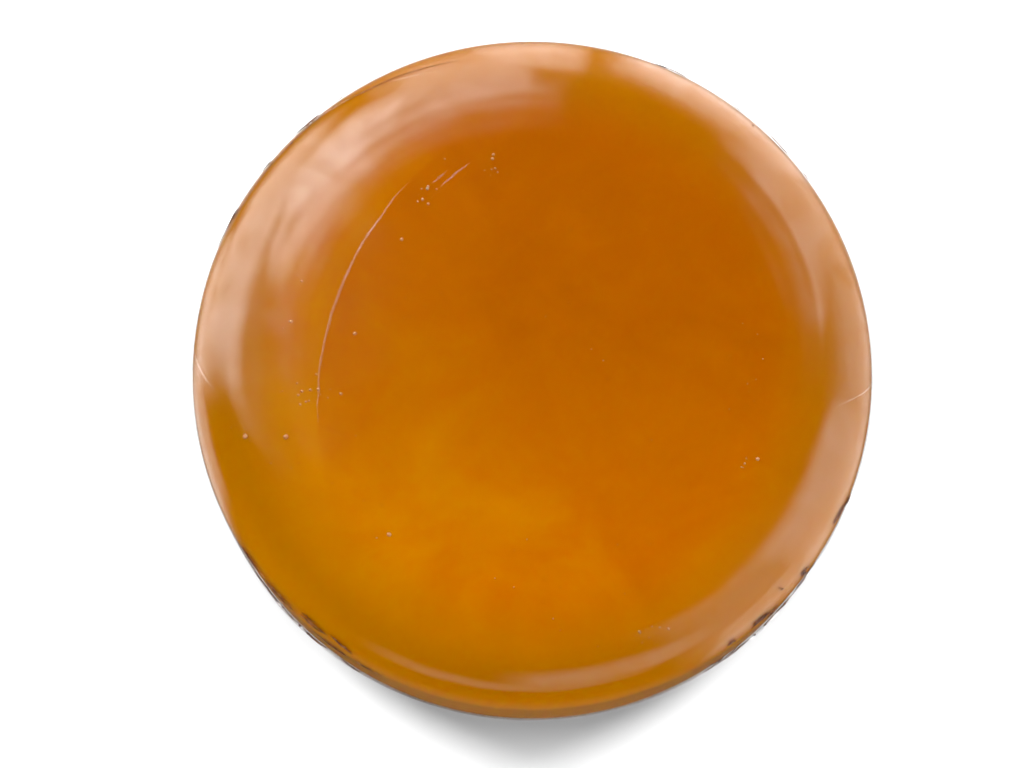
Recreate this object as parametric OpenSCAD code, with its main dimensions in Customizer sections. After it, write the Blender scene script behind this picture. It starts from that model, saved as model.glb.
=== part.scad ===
// A cast shaving soap puck in a clear shrink wrap. The origin is the centre of the
// resting face, on the wrap's underside, and +Z goes up through the front face.

/* [Soap] */
// Diameter of the bare soap
soap_d = 61.5; // [56:0.5:66]
// Thickness of the bare soap
soap_h = 21; // [18:0.5:26]
// Diameter of the flat middle of the front face
face_flat_d = 40; // [30:1:42]
// Radius of the low crown outside the flat middle
crown_r = 40; // [30:1:60]
// Slope at which the crown meets the front edge's round, in degrees
crown_slope = 8; // [5:1:12]
// Radius of the round at the back edge
back_round_r = 5; // [3:0.5:6]

/* [Wrap] */
// Thickness of the clear film, thicker than real film so that it holds as a solid
film_t = 0.15; // [0.1:0.05:0.3]
// Air gap between the film and the soap
film_gap = 0.1; // [0.05:0.05:0.2]
// How far the trim seal stands out from the film
seal_out = 0.2; // [0.1:0.05:0.5]
// Thickness of the trim seal's fin
seal_t = 0.25; // [0.2:0.05:0.4]
// Gap of the tear line, between the seal and the front film
tear_gap = 0.05; // [0.05:0.01:0.1]
// Height of the seal's underside above where the back edge's round ends
seal_rise = 0.35; // [0.2:0.05:1]

/* [Corner gathers] */
// Radius of the melted beads where the wrap's four corners gathered
gather_bead_r = 0.4; // [0.25:0.05:0.45]
// Beads in each gather
gather_beads = 3; // [1:1:5]
// Angle from one bead to the next, in degrees
gather_step = 2.2; // [1.8:0.1:4]

/* [Hidden] */
$fn = 96;

soap_r = soap_d / 2;
face_flat_r = face_flat_d / 2;
soap_z = film_t + film_gap;
soap_top_z = soap_z + soap_h;
skin_out = film_gap + film_t;
film_r = soap_r + skin_out;

crown_end_r = face_flat_r + crown_r * sin(crown_slope);
front_round_r = (soap_r - crown_end_r) / (1 - sin(crown_slope));

seal_z = soap_z + back_round_r + seal_rise;
seal_top_z = seal_z + seal_t;
front_start_z = seal_top_z + tear_gap;

// Past every wall, so that a cut leaves no skin behind.
clear = 5;
crown_steps = 6;
round_steps = 24;
wrap_corners = 4;
first_corner = 45;

soap_colour = [0.75, 0.42, 0.02];
film_colour = [0.96, 0.90, 0.82, 0.35];
seal_colour = [0.62, 0.40, 0.22, 0.8];

// Points along an arc, from one angle to another.
function arc(centre, r, from, to, steps) =
    [for (i = [0:steps])
        centre + r * [cos(from + (to - from) * i / steps), sin(from + (to - from) * i / steps)]];

// Half of the puck's section, grown evenly by `grow`: the back face, the back round, the
// straight side, the front round, the crown and the flat middle.
module half_section(grow = 0) {
    back_centre = [soap_r - back_round_r, soap_z + back_round_r];
    crown_centre = [face_flat_r, soap_top_z - crown_r];
    front_centre = crown_centre
        + (crown_r - front_round_r) * [sin(crown_slope), cos(crown_slope)];
    polygon(concat(
        [[0, soap_z - grow]],
        arc(back_centre, back_round_r + grow, -90, 0, round_steps),
        arc(front_centre, front_round_r + grow, 0, 90 - crown_slope, round_steps),
        arc(crown_centre, crown_r + grow, 90 - crown_slope, 90, crown_steps),
        [[0, soap_top_z + grow]]
    ));
}

// Half of the film's section between two heights.
module film_section(from_z, to_z) {
    intersection() {
        difference() {
            half_section(skin_out);
            half_section(film_gap);
        }
        translate([0, from_z])
            square([film_r + clear, to_z - from_z]);
    }
}

module soap_puck() {
    color(soap_colour)
        rotate_extrude()
            half_section();
}

module wrap_front() {
    color(film_colour)
        rotate_extrude()
            film_section(front_start_z, soap_top_z + clear);
}

module wrap_back() {
    color(film_colour)
        rotate_extrude()
            film_section(-clear, seal_z);
}

module gather() {
    for (i = [0:gather_beads - 1])
        rotate([0, 0, (i - (gather_beads - 1) / 2) * gather_step])
            translate([film_r + tear_gap + gather_bead_r, 0, seal_z + seal_t / 2])
                sphere(r = gather_bead_r);
}

module trim_seal() {
    color(seal_colour)
        union() {
            rotate_extrude()
                translate([soap_r + film_gap, seal_z])
                    square([film_t + seal_out, seal_t]);
            for (i = [0:wrap_corners - 1])
                rotate([0, 0, first_corner + i * 360 / wrap_corners])
                    gather();
        }
}

soap_puck();
wrap_front();
wrap_back();
trim_seal();
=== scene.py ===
"""The looks of a shaving soap puck in a clear shrink wrap, built around its CAD frame.

Everything is in metres in the frame's own axes: the puck lies on the floor with its
front face up, and its axis is Z."""

import math
import random

import bpy
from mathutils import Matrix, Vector, noise


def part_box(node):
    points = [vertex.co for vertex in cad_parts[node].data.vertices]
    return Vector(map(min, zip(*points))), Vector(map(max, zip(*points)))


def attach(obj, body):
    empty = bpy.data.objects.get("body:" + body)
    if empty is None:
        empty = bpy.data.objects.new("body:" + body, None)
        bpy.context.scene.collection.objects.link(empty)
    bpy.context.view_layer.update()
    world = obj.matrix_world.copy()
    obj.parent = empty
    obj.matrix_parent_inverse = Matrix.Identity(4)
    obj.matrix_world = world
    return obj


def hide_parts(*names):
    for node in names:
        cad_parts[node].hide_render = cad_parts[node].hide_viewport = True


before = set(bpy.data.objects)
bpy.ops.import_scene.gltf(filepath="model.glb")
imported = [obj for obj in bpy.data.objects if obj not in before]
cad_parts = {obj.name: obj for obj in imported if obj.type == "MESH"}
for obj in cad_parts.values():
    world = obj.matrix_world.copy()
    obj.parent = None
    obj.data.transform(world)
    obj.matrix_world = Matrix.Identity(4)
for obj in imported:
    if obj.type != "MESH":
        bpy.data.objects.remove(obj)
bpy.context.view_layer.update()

MM = 0.001
TAU = 2 * math.pi

# ---------------------------------------------------------------- driving sizes

SOAP_LO, SOAP_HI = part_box("soap_puck")
FILM_LO, FILM_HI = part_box("wrap_front")
BACK_LO, BACK_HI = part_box("wrap_back")
SEAL_LO, SEAL_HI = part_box("trim_seal")

FULLER = 0.07 * MM          # how far the soap swells into the gap under the film
SOAP_R = SOAP_HI.x + FULLER
SOAP_TOP = SOAP_HI.z + FULLER
SOAP_BOTTOM = SOAP_LO.z - FULLER
FILM_OUT = FILM_HI.z - SOAP_TOP   # from the soap to the CAD film's outer face

FACE_FLAT_R = 20 * MM
CROWN_R = 40 * MM
CROWN_SLOPE = math.radians(8)
BACK_ROUND_R = 5 * MM
SEAL_Z = (SEAL_LO.z + SEAL_HI.z) / 2
SHOULDER_Z = 15 * MM        # where the wall turns in to the rim and the corners' folds run out
WALL_TOP_Z = 15.4 * MM      # just above it, where the creases over the rim are measured from
TUCKS_Z = 18.1 * MM         # the height of the hair-thin tucks on the rim

SEGMENTS = 480
SOAP_INSET = 0.022 * MM     # how far the cast surface lies inside the full shape, on average
FILM_THICKNESS = 0.04 * MM
FILM_INSET = 0.075 * MM     # how far the film lies inside the CAD film's outer face, on average
FILM_ROOM = 0.13 * MM       # and at the most
CORNERS = [math.radians(45 + 90 * k) for k in range(4)]

# The crease in the front film: part of a circle that runs past the puck's middle.
CREASE_CENTRE = (10.8 * MM, -4.4 * MM)
CREASE_R = 29.8 * MM


# ---------------------------------------------------------------- shape helpers

def smoothstep(low, high, x):
    t = min(1.0, max(0.0, (x - low) / (high - low)))
    return t * t * (3 - 2 * t)


def angle_between(a, b):
    """The smallest turn from b to a, from -pi to pi."""
    return (a - b + math.pi) % TAU - math.pi


def arc_points(centre, radius, start, end, step):
    """Points and outward normals along an arc of the section. Angles are from +r towards +z."""
    count = max(2, math.ceil(abs(end - start) * radius / step))
    found = []
    for i in range(1, count + 1):
        a = start + (end - start) * i / count
        n = (math.cos(a), math.sin(a))
        found.append((centre[0] + radius * n[0], centre[1] + radius * n[1], *n))
    return found


def line_points(start, end, normal, step):
    length = math.dist(start, end)
    count = max(1, math.ceil(length / step))
    return [
        (
            start[0] + (end[0] - start[0]) * i / count,
            start[1] + (end[1] - start[1]) * i / count,
            *normal,
        )
        for i in range(1, count + 1)
    ]


def section(grow, step):
    """Half of the puck's section from the middle of the front face to the middle of the
    back: (r, z, normal r, normal z), for a surface that lies `grow` outside the soap."""
    crown_centre = (FACE_FLAT_R, SOAP_TOP - CROWN_R)
    crown_end_r = FACE_FLAT_R + CROWN_R * math.sin(CROWN_SLOPE)
    front_round_r = (SOAP_R - crown_end_r) / (1 - math.sin(CROWN_SLOPE))
    reach = CROWN_R - front_round_r
    front_centre = (
        crown_centre[0] + reach * math.sin(CROWN_SLOPE),
        crown_centre[1] + reach * math.cos(CROWN_SLOPE),
    )
    back_centre = (SOAP_R - BACK_ROUND_R, SOAP_BOTTOM + BACK_ROUND_R)
    top, bottom, side = SOAP_TOP + grow, SOAP_BOTTOM - grow, SOAP_R + grow
    quarter = math.pi / 2
    flat_step = step * 1.6
    points = line_points((0, top), (FACE_FLAT_R, top), (0, 1), flat_step)
    points += arc_points(crown_centre, CROWN_R + grow, quarter, quarter - CROWN_SLOPE, step)
    points += arc_points(front_centre, front_round_r + grow, quarter - CROWN_SLOPE, 0, step)
    points += line_points((side, front_centre[1]), (side, back_centre[1]), (1, 0), step)
    points += arc_points(back_centre, BACK_ROUND_R + grow, 0, -quarter, step)
    points += line_points((back_centre[0], bottom), (step * 2, bottom), (0, -1), flat_step)
    return points


def revolve(name, profile, displace, cap_start=None, cap_end=None):
    """A surface turned from a profile. displace(angle, r, z, along) is how far a point
    moves out along its normal, in metres. cap_start and cap_end are heights on the axis
    where the surface closes."""
    verts, faces = [], []
    along = 0.0
    last = profile[0]
    for r, z, nr, nz in profile:
        along += math.dist((r, z), last[:2])
        last = (r, z)
        for i in range(SEGMENTS):
            a = TAU * i / SEGMENTS
            d = displace(a, r, z, along)
            out = r + nr * d
            verts.append((out * math.cos(a), out * math.sin(a), z + nz * d))
    rings = len(profile)
    for j in range(rings - 1):
        for i in range(SEGMENTS):
            k = (i + 1) % SEGMENTS
            faces.append((j * SEGMENTS + i, (j + 1) * SEGMENTS + i,
                          (j + 1) * SEGMENTS + k, j * SEGMENTS + k))
    for height, ring, flip in ((cap_start, 0, False), (cap_end, rings - 1, True)):
        if height is None:
            continue
        verts.append((0, 0, height))
        for i in range(SEGMENTS):
            pair = (ring * SEGMENTS + i, ring * SEGMENTS + (i + 1) % SEGMENTS)
            faces.append((*(reversed(pair) if flip else pair), len(verts) - 1))
    return mesh_object(name, verts, faces)


def mesh_object(name, verts, faces):
    mesh = bpy.data.meshes.new(name)
    mesh.from_pydata(verts, [], faces)
    mesh.validate()
    mesh.polygons.foreach_set("use_smooth", [True] * len(mesh.polygons))
    ob = bpy.data.objects.new(name, mesh)
    bpy.context.scene.collection.objects.link(ob)
    return ob


def swell(a, r, z, size, seed):
    """Smooth noise over the surface, from about -1 to 1, with features of that size."""
    p = Vector((r * math.cos(a), r * math.sin(a), z)) / size
    return noise.noise(p + Vector((seed, seed * 1.7, -seed)))


# ---------------------------------------------------------------- materials

def new_material(name):
    mat = bpy.data.materials.new(name)
    mat.use_nodes = True
    mat.node_tree.nodes.clear()
    return mat, mat.node_tree.nodes, mat.node_tree.links


def noise_node(nodes, links, coords, scale, detail, roughness=0.5, distortion=0.0):
    n = nodes.new("ShaderNodeTexNoise")
    n.inputs["Scale"].default_value = scale
    n.inputs["Detail"].default_value = detail
    n.inputs["Roughness"].default_value = roughness
    n.inputs["Distortion"].default_value = distortion
    links.new(coords, n.inputs["Vector"])
    return n.outputs["Fac"]


def ramp(nodes, links, value, stops):
    n = nodes.new("ShaderNodeValToRGB")
    while len(n.color_ramp.elements) < len(stops):
        n.color_ramp.elements.new(0.5)
    for e, (at, colour) in zip(n.color_ramp.elements, stops):
        e.position = at
        e.color = (*colour, 1)
    links.new(value, n.inputs["Fac"])
    return n.outputs["Color"]


def math_node(nodes, links, operation, *values):
    n = nodes.new("ShaderNodeMath")
    n.operation = operation
    for socket, value in zip(n.inputs, values):
        if isinstance(value, (int, float)):
            socket.default_value = value
        else:
            links.new(value, socket)
    return n.outputs["Value"]


def between(nodes, links, value, low, high):
    """0 below low and 1 above high, smoothly. low may be above high."""
    n = nodes.new("ShaderNodeMapRange")
    n.interpolation_type = "SMOOTHSTEP"
    n.inputs["From Min"].default_value = low
    n.inputs["From Max"].default_value = high
    links.new(value, n.inputs["Value"])
    return n.outputs["Result"]


def far_from(nodes, links, coords, place):
    """The distance in plan from a place."""
    flat = nodes.new("ShaderNodeVectorMath")
    flat.operation = "MULTIPLY"
    flat.inputs[1].default_value = (1, 1, 0)
    links.new(coords, flat.inputs[0])
    n = nodes.new("ShaderNodeVectorMath")
    n.operation = "DISTANCE"
    n.inputs[1].default_value = (*place, 0)
    links.new(flat.outputs["Vector"], n.inputs[0])
    return n.outputs["Value"]


# The soap's shades. The tone runs from 0, deep amber, to 1, yellow.
SOAP_RAMP = [
    (0.02, (0.258, 0.063, 0.0)),
    (0.40, (0.284, 0.076, 0.0)),
    (0.95, (0.322, 0.118, 0.0)),
]
SOAP_EDGE = (0.236, 0.086, 0.0, 1)     # the greener shade at the rim
# Where the tone shifts: a place in plan, how far from it the shift ends and is full, and how much.
STEP_SHIFT = ((-18 * MM, 6 * MM), 24 * MM, 9 * MM, 0.32)     # only outside the crease
SOAP_SHIFTS = [
    ((-16 * MM, -19 * MM), 25 * MM, 4 * MM, 0.36),
    ((10 * MM, 20 * MM), 30 * MM, 6 * MM, -0.40),
]


def soap_tone(nodes, links, coords):
    """Clouds and curds, yellower outside the crease and at the lower left, deeper above."""
    clouds = noise_node(nodes, links, coords, 85, 7, 0.7, 0.8)
    curds = noise_node(nodes, links, coords, 420, 3, 0.6)
    tone = math_node(nodes, links, "MULTIPLY_ADD", clouds, 1.3, -0.35)
    tone = math_node(nodes, links, "MULTIPLY_ADD", curds, 0.16, tone)
    outside = between(nodes, links, far_from(nodes, links, coords, CREASE_CENTRE),
                      CREASE_R - 0.15 * MM, CREASE_R + 0.25 * MM)
    place, end, full, amount = STEP_SHIFT
    near = between(nodes, links, far_from(nodes, links, coords, place), end, full)
    step = math_node(nodes, links, "MULTIPLY", outside, near)
    tone = math_node(nodes, links, "MULTIPLY_ADD", step, amount, tone)
    for place, end, full, amount in SOAP_SHIFTS:
        near = between(nodes, links, far_from(nodes, links, coords, place), end, full)
        tone = math_node(nodes, links, "MULTIPLY_ADD", near, amount, tone)
    return tone


def soap_colour(nodes, links, coords):
    """The tone's shade, greener at the rim, and with painted light: paler towards the lower, front edge,
    which the lamps at the back leave darker.
    """
    colour = ramp(nodes, links, soap_tone(nodes, links, coords), SOAP_RAMP)
    rim = between(nodes, links, far_from(nodes, links, coords, (0, 0)), 20 * MM, 28 * MM)
    edge = nodes.new("ShaderNodeMix")
    edge.data_type = "RGBA"
    links.new(math_node(nodes, links, "MULTIPLY", rim, 0.85), edge.inputs["Factor"])
    links.new(colour, edge.inputs["A"])
    edge.inputs["B"].default_value = SOAP_EDGE
    # painted light: the colour is raised by up to about a quarter towards -Y, the front side that faces away
    # from the key and the back lamps
    parts = nodes.new("ShaderNodeSeparateXYZ")
    links.new(coords, parts.inputs["Vector"])
    lower = between(nodes, links, parts.outputs["Y"], 2 * MM, -27 * MM)
    painted_fill = nodes.new("ShaderNodeVectorMath")
    painted_fill.operation = "SCALE"
    links.new(edge.outputs["Result"], painted_fill.inputs[0])
    links.new(math_node(nodes, links, "MULTIPLY_ADD", lower, 0.27, 1.04), painted_fill.inputs["Scale"])
    return painted_fill.outputs["Vector"]


def soap_material():
    """Amber soap that light goes a few millimetres into."""
    mat, nodes, links = new_material("amber_soap")
    out = nodes.new("ShaderNodeOutputMaterial")
    soap = nodes.new("ShaderNodeBsdfPrincipled")
    coords = nodes.new("ShaderNodeTexCoord").outputs["Object"]
    links.new(soap_colour(nodes, links, coords), soap.inputs["Base Color"])
    soap.inputs["Subsurface Weight"].default_value = 1.0
    soap.inputs["Subsurface Radius"].default_value = (1.0, 0.45, 0.12)
    soap.inputs["Subsurface Scale"].default_value = 3.5 * MM
    soap.inputs["Roughness"].default_value = 0.2
    soap.inputs["IOR"].default_value = 1.47
    soap.inputs["Specular IOR Level"].default_value = 0.05
    # the light that the soap throws on its surroundings is kept neutral
    path = nodes.new("ShaderNodeLightPath")
    grey = nodes.new("ShaderNodeBsdfDiffuse")
    grey.inputs["Color"].default_value = (0.2, 0.2, 0.2, 1)
    seen = nodes.new("ShaderNodeMixShader")
    links.new(path.outputs["Is Diffuse Ray"], seen.inputs["Fac"])
    links.new(soap.outputs["BSDF"], seen.inputs[1])
    links.new(grey.outputs["BSDF"], seen.inputs[2])
    links.new(seen.outputs["Shader"], out.inputs["Surface"])
    return mat


def trapped_air_material():
    """Air caught between the soap and the film: paler than the soap."""
    mat, nodes, links = new_material("trapped_air")
    out = nodes.new("ShaderNodeOutputMaterial")
    air = nodes.new("ShaderNodeBsdfPrincipled")
    coords = nodes.new("ShaderNodeTexCoord").outputs["Object"]
    patches = noise_node(nodes, links, coords, 900, 2)
    links.new(ramp(nodes, links, patches, [
        (0.3, (0.29, 0.10, 0.015)),
        (0.7, (0.37, 0.18, 0.08)),
    ]), air.inputs["Base Color"])
    air.inputs["Subsurface Weight"].default_value = 0.6
    air.inputs["Subsurface Scale"].default_value = 0.4 * MM
    air.inputs["Roughness"].default_value = 0.15
    links.new(air.outputs["BSDF"], out.inputs["Surface"])
    return mat


FILM_FACING_GLOSS = 0.022   # the glossy share seen straight on
FILM_EDGE_GLOSS = 0.28      # how much it would rise by edge-on
FILM_MOST_GLOSS = 0.07      # where the rise stops
FILM_CLEAR = 0.995          # what the film lets through straight on
FILM_EDGE_LOSS = 0.14       # how much less it lets through edge-on


def film_material(name="clear_film", extra=0.0):
    """Clear smeared shrink film. extra is a haze on top of its glossy share."""
    mat, nodes, links = new_material(name)
    out = nodes.new("ShaderNodeOutputMaterial")
    mix = nodes.new("ShaderNodeMixShader")
    clear = nodes.new("ShaderNodeBsdfTransparent")
    gloss = nodes.new("ShaderNodeBsdfGlossy")
    gloss.inputs["Roughness"].default_value = 0.08
    coords = nodes.new("ShaderNodeTexCoord").outputs["Object"]
    smears = noise_node(nodes, links, coords, 150, 4, 0.6, 1.5)
    patchy = math_node(nodes, links, "MULTIPLY_ADD", smears, 1.5, 0.25)     # 1 on average
    facing = nodes.new("ShaderNodeLayerWeight")
    facing.inputs["Blend"].default_value = 0.5
    steep = math_node(nodes, links, "POWER", facing.outputs["Facing"], 5.0)
    rise = math_node(nodes, links, "MULTIPLY_ADD", steep, FILM_EDGE_GLOSS, FILM_FACING_GLOSS + extra)
    rise = math_node(nodes, links, "MINIMUM", rise, FILM_MOST_GLOSS + extra)
    share = math_node(nodes, links, "MULTIPLY", rise, patchy)
    links.new(share, mix.inputs["Fac"])
    through = math_node(nodes, links, "MULTIPLY_ADD", steep, -FILM_EDGE_LOSS, FILM_CLEAR)
    links.new(through, clear.inputs["Color"])
    links.new(clear.outputs["BSDF"], mix.inputs[1])
    links.new(gloss.outputs["BSDF"], mix.inputs[2])
    links.new(mix.outputs["Shader"], out.inputs["Surface"])
    return mat


def painted_fold_shade_material(name="seal_painted_shade"):
    """Film drawn together in folds, with painted shade: a dark brown that stands in for the dark lines that
    refraction and shadow draw along folds in clear film.
    """
    mat, nodes, links = new_material(name)
    out = nodes.new("ShaderNodeOutputMaterial")
    seal = nodes.new("ShaderNodeBsdfPrincipled")
    coords = nodes.new("ShaderNodeTexCoord").outputs["Object"]
    # painted shade: near-black to brown specks along the folds
    specks = noise_node(nodes, links, coords, 1400, 3, 0.7)
    links.new(ramp(nodes, links, specks, [
        (0.35, (0.03, 0.009, 0.003)),
        (0.55, (0.10, 0.033, 0.012)),
        (0.72, (0.30, 0.14, 0.07)),
    ]), seal.inputs["Base Color"])
    seal.inputs["Roughness"].default_value = 0.4
    seal.inputs["Specular IOR Level"].default_value = 0.12
    links.new(seal.outputs["BSDF"], out.inputs["Surface"])
    return mat


# ---------------------------------------------------------------- pieces

def soap_depth(a, r, z, along):
    """The cast surface's soft unevenness. It only goes inward, so the size holds."""
    wide = 0.022 * MM * swell(a, r, z, 14 * MM, 3.1)
    fine = 0.008 * MM * swell(a, r, z, 5 * MM, 8.7)
    return -(SOAP_INSET + wide + fine)


def make_soap():
    ob = revolve("soap", section(0, 0.4 * MM), soap_depth, SOAP_TOP - SOAP_INSET, SOAP_BOTTOM + SOAP_INSET)
    ob.data.materials.append(soap_material())
    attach(ob, "puck")
    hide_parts("soap_puck")


def corner_pull(a, width):
    """1 at a gathered corner, fading out over the width in degrees."""
    off = min(abs(angle_between(a, c)) for c in CORNERS)
    return math.exp(-(math.degrees(off) / width) ** 2)


def film_lift(a, r, z, along):
    """How far the film's outer face lies outside its CAD one, in metres. It is always below 0.
    The shares that add up to it are in millimetres."""
    rim = smoothstep(19 * MM, 26 * MM, r)
    soft = (0.045 + 0.025 * rim) * swell(a, r, z, 8 * MM, 5.3)
    dents = (0.008 + 0.024 * rim) * swell(a, r, z, 3.6 * MM, 2.2)
    # long shallow streaks that follow the rim
    around = Vector((math.cos(a) * 2.2, math.sin(a) * 2.2, along / (1.1 * MM)))
    streaks = 0.020 * rim * noise.noise(around)
    # folds that run up the wall from the seal, deepest at the four corners
    low = smoothstep(16 * MM, 7 * MM, z) * smoothstep(0, 4 * MM, z)
    wander = 0.35 * noise.noise(Vector((math.cos(a) * 9, math.sin(a) * 9, z / (6 * MM))))
    fold = abs(math.sin(38 * (a + 0.12 * wander)))
    folds = low * (0.012 + 0.060 * corner_pull(a, 13)) * (fold - 0.5)
    lift = (soft + dents + streaks + folds) * MM - FILM_INSET
    return max(-FILM_ROOM, min(-0.004 * MM, lift))


FILM_SECTION = section(FILM_OUT, 0.25 * MM)


def make_film(name, profile, body, node, caps, material):
    ob = revolve(name, profile, film_lift, *caps)
    shell = ob.modifiers.new("thickness", "SOLIDIFY")
    shell.thickness = FILM_THICKNESS
    shell.offset = -1
    ob.data.materials.append(material)
    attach(ob, body)
    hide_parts(node)


def make_films():
    material = film_material()
    front = [p for p in FILM_SECTION if p[1] >= FILM_LO.z]
    back = [p for p in FILM_SECTION if p[1] <= BACK_HI.z]
    make_film("film_front", front, "front_wrap", "wrap_front", (FILM_HI.z - FILM_INSET, None), material)
    make_film("film_back", back, "back_wrap", "wrap_back", (None, BACK_LO.z + FILM_INSET), material)


def film_point(a, along):
    """A point on the film and the way out of it, at an angle and a distance from the middle
    of the face along the section."""
    walked = 0.0
    last = (0.0, SOAP_TOP + FILM_OUT)
    for r, z, nr, nz in FILM_SECTION:
        stride = math.dist((r, z), last)
        if walked + stride >= along:
            t = (along - walked) / stride
            r, z = last[0] + (r - last[0]) * t, last[1] + (z - last[1]) * t
            break
        walked += stride
        last = (r, z)
    out = Vector((nr * math.cos(a), nr * math.sin(a), nz))
    place = Vector((r * math.cos(a), r * math.sin(a), z))
    return place + out * film_lift(a, r, z, along), out


def along_at(height):
    """How far along the section the film's wall passes a height."""
    walked = 0.0
    last = (0.0, SOAP_TOP + FILM_OUT)
    for r, z, _, _ in FILM_SECTION:
        walked += math.dist((r, z), last)
        last = (r, z)
        if z <= height:
            break
    return walked


def ridge(verts, faces, path, width, height, sink=0.01 * MM):
    """Adds a low rounded ridge that lies on the film along a path of (angle, along) and
    tapers to nothing at both ends."""
    sides = 8
    places = [film_point(a, s) for a, s in path]
    base = len(verts)
    last = len(places) - 1
    for i, (place, out) in enumerate(places):
        ahead = places[min(i + 1, last)][0] - places[max(i - 1, 0)][0]
        across = ahead.normalized().cross(out)
        taper = max(0.06, math.sin(math.pi * i / last)) ** 0.6
        for k in range(sides):
            t = TAU * k / sides
            verts.append(tuple(
                place + across * (width / 2 * taper * math.cos(t))
                + out * (height * taper * max(-0.3, math.sin(t)) - sink)
            ))
    for i in range(last):
        for k in range(sides):
            j = (k + 1) % sides
            row, following = base + i * sides, base + (i + 1) * sides
            faces.append((row + k, row + j, following + j, following + k))
    faces.append(tuple(base + k for k in reversed(range(sides))))
    faces.append(tuple(base + last * sides + k for k in range(sides)))


def face_place(x, y):
    """A place on the flat face as an angle and a distance along the section."""
    return math.atan2(y, x), math.hypot(x, y)


def crease_path(radius, start, end, hook=0.0, steps=160, seed=1.0):
    """Part of a circle about the crease's centre, a little unsteady, that turns inward at its
    far end by the hook."""
    path = []
    for i in range(steps + 1):
        t = i / steps
        a = math.radians(start + (end - start) * t)
        unsteady = 0.14 * MM * noise.noise(Vector((t * 9, seed, 0)))
        unsteady += 0.05 * MM * noise.noise(Vector((t * 40, seed, 4)))
        here = radius + unsteady - hook * smoothstep(0.93, 1.0, t)
        path.append(face_place(CREASE_CENTRE[0] + here * math.cos(a), CREASE_CENTRE[1] + here * math.sin(a)))
    return path


def rim_path(start, end, along_start, along_end, steps=120, wobble=0.1 * MM, seed=0.0):
    """A line over the rim between two angles in degrees and two places along the section."""
    path = []
    for i in range(steps + 1):
        t = i / steps
        shift = wobble * noise.noise(Vector((t * 7, seed, 9)))
        path.append((math.radians(start + (end - start) * t),
                     along_start + (along_end - along_start) * t + shift))
    return path


def add_ridges(verts, faces, ridges):
    """Adds ridges, each from its path and its width and height in millimetres."""
    for path, width, height in ridges:
        ridge(verts, faces, path, width * MM, height * MM)


def make_film_creases():
    """Fine folds set in the front film: the long one across the face and the ones at the rim."""
    verts, faces = [], []
    wall = along_at(WALL_TOP_Z)
    add_ridges(verts, faces, [
        (crease_path(CREASE_R, 137.5, 186.5, hook=2.6 * MM), 0.22, 0.035),
        (crease_path(27.5 * MM, 126.7, 134.0, steps=40, seed=3.0), 0.20, 0.035),
        (crease_path(28.2 * MM, 131.0, 134.5, steps=30, seed=5.0), 0.24, 0.03),
        (rim_path(158, 108, wall + 0.8 * MM, wall - 6.0 * MM), 0.16, 0.05),
        (rim_path(176, 186, wall - 1.0 * MM, wall - 5.5 * MM, 60, seed=2.0), 0.14, 0.012),
        (rim_path(-2, -9, wall - 0.5 * MM, wall - 6.5 * MM, 60, seed=4.0), 0.14, 0.012),
    ])
    ob = mesh_object("film_creases", verts, faces)
    ob.data.materials.append(film_material("creased_film", extra=0.02))
    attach(ob, "front_wrap")


def lump(verts, faces, place, out, size, flat, rng):
    """Adds a small uneven dome: a squashed ball, wider than it is high."""
    rings, sides = 5, 10
    side = out.orthogonal().normalized()
    other = out.cross(side)
    base = len(verts)
    verts.append(tuple(place + out * size * flat))
    for i in range(1, rings):
        polar_angle = math.pi * i / rings
        for k in range(sides):
            t = TAU * k / sides
            reach = size * math.sin(polar_angle) * rng.uniform(0.88, 1.12)
            verts.append(tuple(
                place + side * (reach * math.cos(t)) + other * (reach * math.sin(t))
                + out * (size * flat * math.cos(polar_angle))
            ))
    verts.append(tuple(place - out * size * flat))
    for k in range(sides):
        j = (k + 1) % sides
        faces.append((base, base + 1 + k, base + 1 + j))
        for i in range(rings - 2):
            row, following = base + 1 + i * sides, base + 1 + (i + 1) * sides
            faces.append((row + k, following + k, following + j, row + j))
        row = base + 1 + (rings - 2) * sides
        faces.append((row + k, len(verts) - 1, row + j))


# The specks that stand alone: x, y and radius in millimetres.
SINGLE_SPECKS = [(-25.5, -7.2, 0.24), (-21.8, -7.3, 0.24), (-21.8, -15.5, 0.17), (-12.6, -16.0, 0.22),
                 (-24.0, -17.3, 0.14), (-20.3, -17.4, 0.14), (-13.7, -16.3, 0.10), (19.8, -9.3, 0.20),
                 (-11.7, 10.6, 0.17), (-15.8, 2.0, 0.16), (-20.6, 6.8, 0.12), (-21.5, 3.1, 0.16)]
# The groups: x and y in millimetres, how many specks, and how wide they spread in millimetres.
SPECK_GROUPS = [(10.1, -24.8, 9, 1.3), (-19.6, -3.4, 12, 1.6), (18.5, -9.8, 5, 1.0),
                (-9.6, 14.6, 8, 1.8), (-3.9, 17.3, 6, 1.0)]
FINE_SPECKS = 170
FINE_SPECKS_R = 28          # the circle that they are scattered over, in millimetres
SPECK_DEPTH = 0.72          # how deep they lie, as a share of the way from the film's face to the soap
SPECK_FLATNESS = 0.35


def speck_places(rng):
    """Where the specks are: x, y and radius in millimetres."""
    places = list(SINGLE_SPECKS)
    for x, y, count, spread in SPECK_GROUPS:
        places += [(rng.gauss(x, spread / 2), rng.gauss(y, spread / 2), rng.uniform(0.07, 0.15))
                   for _ in range(count)]
    for _ in range(FINE_SPECKS):
        r, a = FINE_SPECKS_R * math.sqrt(rng.random()), rng.uniform(0, TAU)
        places.append((r * math.cos(a), r * math.sin(a), rng.uniform(0.03, 0.08)))
    return places


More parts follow.
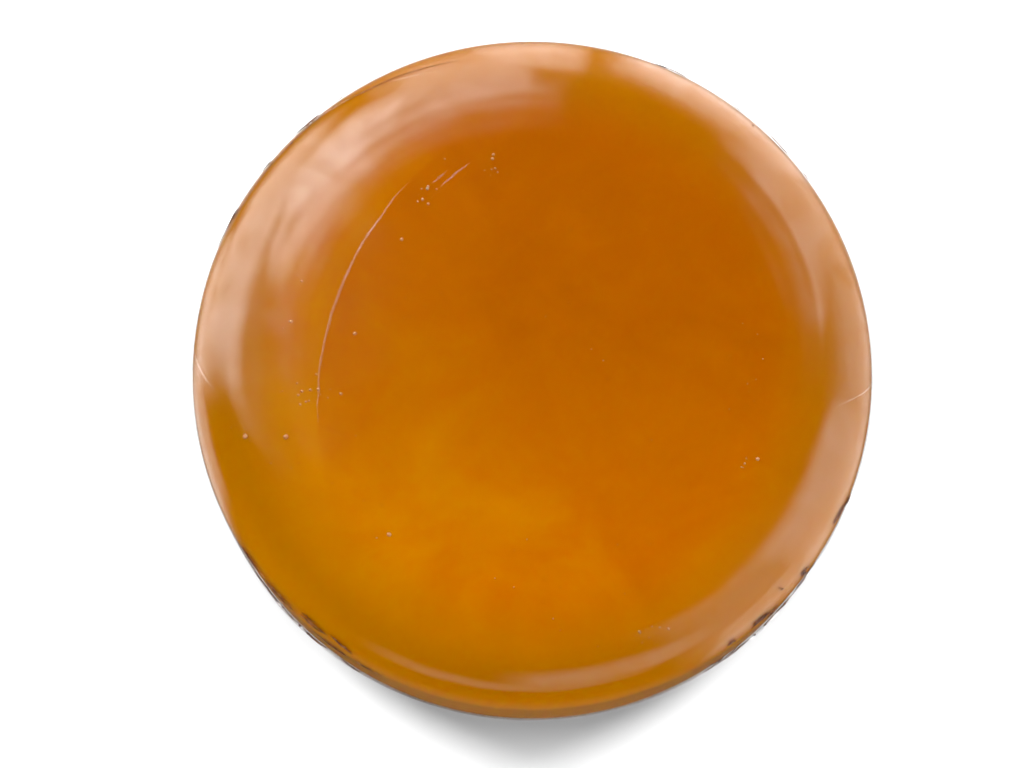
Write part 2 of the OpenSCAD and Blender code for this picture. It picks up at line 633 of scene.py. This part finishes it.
def make_air_specks():
    """Specks of air between the soap and the film over the face."""
    rng = random.Random(11)
    verts, faces = [], []
    for x, y, size in speck_places(rng):
        place, out = film_point(*face_place(x * MM, y * MM))
        lump(verts, faces, place - out * (FILM_OUT * SPECK_DEPTH), out, size * MM, SPECK_FLATNESS, rng)
    ob = mesh_object("air_specks", verts, faces)
    ob.data.materials.append(trapped_air_material())
    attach(ob, "puck")


def make_seal():
    """The weld between the two films: a thin clear fin all round, nearly flush with the wall."""
    count = 720
    verts, faces = [], []
    wall = SOAP_R + FILM_OUT
    root = wall - 0.15 * MM
    half = 0.10 * MM
    for i in range(count):
        a = TAU * i / count
        unsteady = noise.noise(Vector((math.cos(a) * 14, math.sin(a) * 14, 2)))
        pull = corner_pull(a, 14)
        reach = (0.05 + 0.03 * unsteady + 0.06 * pull) * MM
        z = SEAL_Z + (0.05 * unsteady + 0.12 * pull * math.sin(70 * a)) * MM
        ring = ((root, -half), (wall + reach * 0.7, -half * 0.7), (wall + reach, 0),
                (wall + reach * 0.7, half * 0.7), (root, half))
        for r, dz in ring:
            verts.append((r * math.cos(a), r * math.sin(a), z + dz))
    corners = len(ring)
    for i in range(count):
        here, there = i * corners, (i + 1) % count * corners
        for k in range(corners):
            j = (k + 1) % corners
            faces.append((here + k, there + k, there + j, here + j))
    ob = mesh_object("seal_fin", verts, faces)
    ob.data.materials.append(film_material("fin_film", extra=0.20))
    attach(ob, "back_wrap")
    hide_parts("trim_seal")


# The pinches by each corner: the angle from the corner and the drop from the shoulder in
# millimetres where a bunch starts, the angle and drop it runs over, and how many strokes it has.
SHORT_PINCHES = [(17.0, -2.3, 5.5, 0.9, 7), (21.0, -1.0, 3.0, 0.2, 3), (6.5, -2.2, 1.6, 0.9, 7),
                 (-5.0, -2.1, 4.6, 0.2, 9), (-2.0, -1.4, 3.0, 0.3, 4), (-10.5, -2.2, 2.0, 0.5, 6),
                 (2.0, -3.6, 0.8, 0.3, 2)]
LONG_PINCHES = [(-13.5, -1.7, 9.0, -0.3, 4), (-5.5, -1.6, 8.0, -0.6, 4), (2.5, -2.2, 7.0, -0.4, 4),
                (9.0, -2.8, 6.0, 0.9, 5), (6.0, -1.0, 8.0, 0.4, 3), (14.0, -0.6, 5.0, 0.3, 3)]
PINCHES = [SHORT_PINCHES, SHORT_PINCHES, LONG_PINCHES, SHORT_PINCHES]


def climbing_folds(verts, faces, middle, rng):
    """Short folds that climb the wall from the weld at a corner, brown with painted shade."""
    wall = along_at(SEAL_Z)
    for _ in range(7):
        start = middle + rng.uniform(-13, 13)
        foot = wall - rng.uniform(0.3, 1.5) * MM
        climb = rng.uniform(1.0, 4.0) * MM
        path = rim_path(start, start + rng.uniform(-3, 3), foot, foot - climb, 30,
                        0.3 * MM, rng.uniform(0, 50))
        ridge(verts, faces, path, rng.uniform(0.06, 0.13) * MM, rng.uniform(0.03, 0.07) * MM)


def shoulder_pinches(verts, faces, middle, pinches, rng):
    """Crinkled strokes, dark with painted shade, where the folds run out on the shoulder, in bunches."""
    shoulder = along_at(SHOULDER_Z)
    for turn, drop, sweep, slant, count in pinches:
        for _ in range(count):
            start = middle + turn + rng.gauss(0, 0.35)
            top = shoulder + (drop + rng.gauss(0, 0.22)) * MM
            part = rng.uniform(0.4, 1.0)
            path = rim_path(start, start + sweep * part, top, top + slant * part * MM, 24,
                            0.22 * MM, rng.uniform(0, 50))
            ridge(verts, faces, path, rng.uniform(0.08, 0.22) * MM, rng.uniform(0.03, 0.06) * MM)


def make_film_tucks():
    """The folds of the front film, dark with painted shade: hair-thin tucks over the rim, and what the
    shrinking leaves on the wall and the shoulder by the corners."""
    rng = random.Random(29)
    verts, faces = [], []
    edge = along_at(TUCKS_Z)
    add_ridges(verts, faces, [
        (rim_path(157, 124, edge + 0.2 * MM, edge - 0.5 * MM, 160, seed=6.0), 0.11, 0.03),
        (rim_path(128, 103, edge - 0.9 * MM, edge - 2.6 * MM, 140, seed=8.0), 0.10, 0.03),
    ])
    for corner, pinches in zip(CORNERS, PINCHES):
        middle = math.degrees(corner)
        climbing_folds(verts, faces, middle, rng)
        shoulder_pinches(verts, faces, middle, pinches, rng)
    ob = mesh_object("film_tucks", verts, faces)
    # painted shade: the dark brown stands in for the lines that refraction and shadow draw along the folds
    ob.data.materials.append(painted_fold_shade_material("tucks_painted_shade"))
    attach(ob, "front_wrap")


def make_gathers():
    """What the shrinking leaves on the weld at the corners: crinkles and beads, dark brown with painted
    shade.
    """
    rng = random.Random(23)
    verts, faces = [], []
    wall = along_at(SEAL_Z)
    for corner in CORNERS:
        middle = math.degrees(corner)
        for _ in range(12):
            start = middle + rng.uniform(-15, 12)
            sweep = rng.uniform(2, 7)
            low = wall + rng.uniform(0.0, 0.7) * MM
            path = rim_path(start, start + sweep, low, low + rng.uniform(0.0, 0.5) * MM, 40,
                            0.3 * MM, rng.uniform(0, 50))
            ridge(verts, faces, path, rng.uniform(0.08, 0.16) * MM, rng.uniform(0.04, 0.12) * MM)
        for k in (-1, 0, 1):
            a = corner + k * math.radians(4.1) + rng.uniform(-0.02, 0.02)
            place, out = film_point(a, wall)
            lump(verts, faces, place + out * 0.03 * MM, out, rng.uniform(0.12, 0.20) * MM, 0.6, rng)
    ob = mesh_object("seal_gathers", verts, faces)
    # painted shade: the dark brown stands in for the lines that refraction and shadow draw along the
    # gathered film
    ob.data.materials.append(painted_fold_shade_material())
    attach(ob, "back_wrap")
    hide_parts("trim_seal")


# ---------------------------------------------------------------- stage, light, camera

FLOOR_HALF = 0.3            # small, so that a low camera sees plain white behind it


def make_floor():
    half = FLOOR_HALF
    floor = mesh_object("floor", [(-half, -half, 0), (half, -half, 0), (half, half, 0), (-half, half, 0)],
                        [(0, 1, 2, 3)])
    mat, nodes, links = new_material("pale_floor")
    out = nodes.new("ShaderNodeOutputMaterial")
    shade = nodes.new("ShaderNodeBsdfDiffuse")
    shade.inputs["Color"].default_value = (0.91, 0.91, 0.91, 1)
    links.new(shade.outputs["BSDF"], out.inputs["Surface"])
    floor.data.materials.append(mat)
    floor.visible_glossy = False


def direction(azimuth, from_up):
    """A unit vector. Azimuth is from +X towards +Y, and from_up is from straight up, in degrees."""
    a, p = math.radians(azimuth), math.radians(from_up)
    return Vector((math.sin(p) * math.cos(a), math.sin(p) * math.sin(a), math.cos(p)))


# What reflections see: soft white panels on a black surround. Each is an azimuth, the half-width
# where it is full and where it ends, the four polar angles where it starts, is full, is still
# full and ends, and a strength. Azimuth is from +X towards +Y, polar from straight up, in degrees.
PANELS = [
    (121, 3, 18, (9, 30, 48, 86), 10.5),        # the big softbox, up and to the left
    (147, 14, 29, (10, 46, 92, 124), 7.4),      # its lower left end
    (160, 6, 18, (58, 98, 116, 145), 5.4),      # a card below that end
    (101, 4, 16, (17, 33, 66, 140), 6.0),       # its right end
    (90, 3, 10, (38, 72, 92, 146), 7.0),        # a white card behind
    (60, 11, 20, (38, 90, 112, 155), 6.0),      # and one to the right of it
    (42, 8, 20, (20, 36, 98, 150), 4.0),        # a card to the right
    (14, 8, 20, (20, 80, 118, 160), 3.0),       # its lower front end
    (-12, 10, 24, (12, 50, 120, 162), 3.9),     # a dimmer card in front of it
    (-38, 8, 24, (18, 36, 84, 150), 1.5),       # a weak one at the front right
    (-36, 8, 19, (84, 98, 120, 155), 2.8),      # and its brighter foot
    (-70, 14, 30, (52, 70, 82, 96), 2.0),       # the bright edge of the table in front
    (-94, 16, 34, (76, 86, 92, 102), 1.3),      # and its dimmer middle
    (176, 8, 20, (96, 116, 140, 165), 2.6),     # the table's left side
    (90, 45, 80, (118, 146, 179, 180), 1.1),    # the pale table under it all
    (-90, 100, 165, (118, 146, 179, 180), 0.12),    # and its dim front
]
# What everything else sees: a white room, dimmer in front than behind. The camera sees plain white.
ROOM_BACK = 0.48
ROOM_FRONT = 0.0


def panel_light(nodes, links, flat_ray, height, panel):
    """What one panel sends back along a ray with that heading and height."""
    azimuth, full, edge, polars, strength = panel
    heading = nodes.new("ShaderNodeVectorMath")
    heading.operation = "DOT_PRODUCT"
    heading.inputs[1].default_value = direction(azimuth, 90)
    links.new(flat_ray, heading.inputs[0])
    rise, top, drop, bottom = (math.cos(math.radians(p)) for p in polars)
    across = between(nodes, links, heading.outputs["Value"],
                     math.cos(math.radians(edge)), math.cos(math.radians(full)))
    upper = between(nodes, links, height, rise, top)
    lower = between(nodes, links, height, bottom, drop)
    lit = math_node(nodes, links, "MULTIPLY", upper, lower)
    lit = math_node(nodes, links, "MULTIPLY", lit, across)
    return math_node(nodes, links, "MULTIPLY", lit, strength)


def make_world():
    """Soft panels for reflections, a white room for other rays and plain white for the camera."""
    world = bpy.data.worlds.new("studio")
    bpy.context.scene.world = world
    world.use_nodes = True
    # the room and the panels are told apart by ray, so the world isn't sampled as a light
    world.cycles.sampling_method = "NONE"
    nodes, links = world.node_tree.nodes, world.node_tree.links
    nodes.clear()
    out = nodes.new("ShaderNodeOutputWorld")
    mix = nodes.new("ShaderNodeMixShader")
    path = nodes.new("ShaderNodeLightPath")
    ambient = nodes.new("ShaderNodeBackground")
    ambient.inputs["Color"].default_value = (1, 1, 1, 1)
    panels = nodes.new("ShaderNodeBackground")
    ray = nodes.new("ShaderNodeTexCoord").outputs["Generated"]
    parts = nodes.new("ShaderNodeSeparateXYZ")
    links.new(ray, parts.inputs["Vector"])
    back = between(nodes, links, parts.outputs["Y"], -0.95, -0.35)
    room = math_node(nodes, links, "MULTIPLY_ADD", back, ROOM_BACK - ROOM_FRONT, ROOM_FRONT)
    room = math_node(nodes, links, "MAXIMUM", room, path.outputs["Is Camera Ray"])
    links.new(room, ambient.inputs["Strength"])
    flat = nodes.new("ShaderNodeCombineXYZ")
    links.new(parts.outputs["X"], flat.inputs["X"])
    links.new(parts.outputs["Y"], flat.inputs["Y"])
    heading = nodes.new("ShaderNodeVectorMath")
    heading.operation = "NORMALIZE"
    links.new(flat.outputs["Vector"], heading.inputs[0])
    total = 0.0
    for panel in PANELS:
        lit = panel_light(nodes, links, heading.outputs["Vector"], parts.outputs["Z"], panel)
        total = math_node(nodes, links, "MAXIMUM", lit, total)
    links.new(total, panels.inputs["Strength"])
    links.new(path.outputs["Is Glossy Ray"], mix.inputs["Fac"])
    links.new(ambient.outputs["Background"], mix.inputs[1])
    links.new(panels.outputs["Background"], mix.inputs[2])
    links.new(mix.outputs["Shader"], out.inputs["Surface"])


def area_light(name, place, target, width, depth, watts):
    data = bpy.data.lights.new(name, "AREA")
    data.shape = "ELLIPSE"
    data.size = width
    data.size_y = depth
    data.energy = watts
    ob = bpy.data.objects.new(name, data)
    bpy.context.scene.collection.objects.link(ob)
    ob.location = place
    ob.rotation_mode = "QUATERNION"
    ob.rotation_quaternion = (Vector(target) - Vector(place)).to_track_quat("-Z", "Y")
    ob.visible_camera = False
    ob.visible_glossy = False


def make_lights():
    """A key overhead, two lights at the back that brighten the floor, and a low fill in front."""
    area_light("key", (0.0, 0.08, 0.55), (0, 0, 0), 0.12, 0.22, 1.6)
    area_light("left", (-0.42, 0.27, 0.35), (0, 0, 0), 0.24, 0.16, 4.2)
    area_light("right", (0.42, 0.27, 0.35), (0, 0, 0), 0.24, 0.16, 4.2)
    area_light("front_fill", (0.0, -0.35, 0.03), (0, 0, 0.01), 0.16, 0.05, 0.85)


CAMERA_ELEVATION = math.radians(79)
CAMERA_DISTANCE = 0.2601
CAMERA_AIM = (-1.84 * MM, -0.95 * MM, 13 * MM)


def make_camera():
    data = bpy.data.cameras.new("camera")
    data.lens = 100
    data.sensor_width = 36
    data.clip_start = 0.01
    data.clip_end = 20
    cam = bpy.data.objects.new("camera", data)
    bpy.context.scene.collection.objects.link(cam)
    back = Vector((0, -math.cos(CAMERA_ELEVATION), math.sin(CAMERA_ELEVATION)))
    cam.location = Vector(CAMERA_AIM) + back * CAMERA_DISTANCE
    cam.rotation_mode = "QUATERNION"
    cam.rotation_quaternion = (-back).to_track_quat("-Z", "Y")
    bpy.context.scene.camera = cam
    bpy.context.scene.view_settings.view_transform = "Standard"


make_camera()
make_soap()
make_films()
make_film_creases()
make_film_tucks()
make_air_specks()
make_seal()
make_gathers()
make_floor()
make_world()
make_lights()
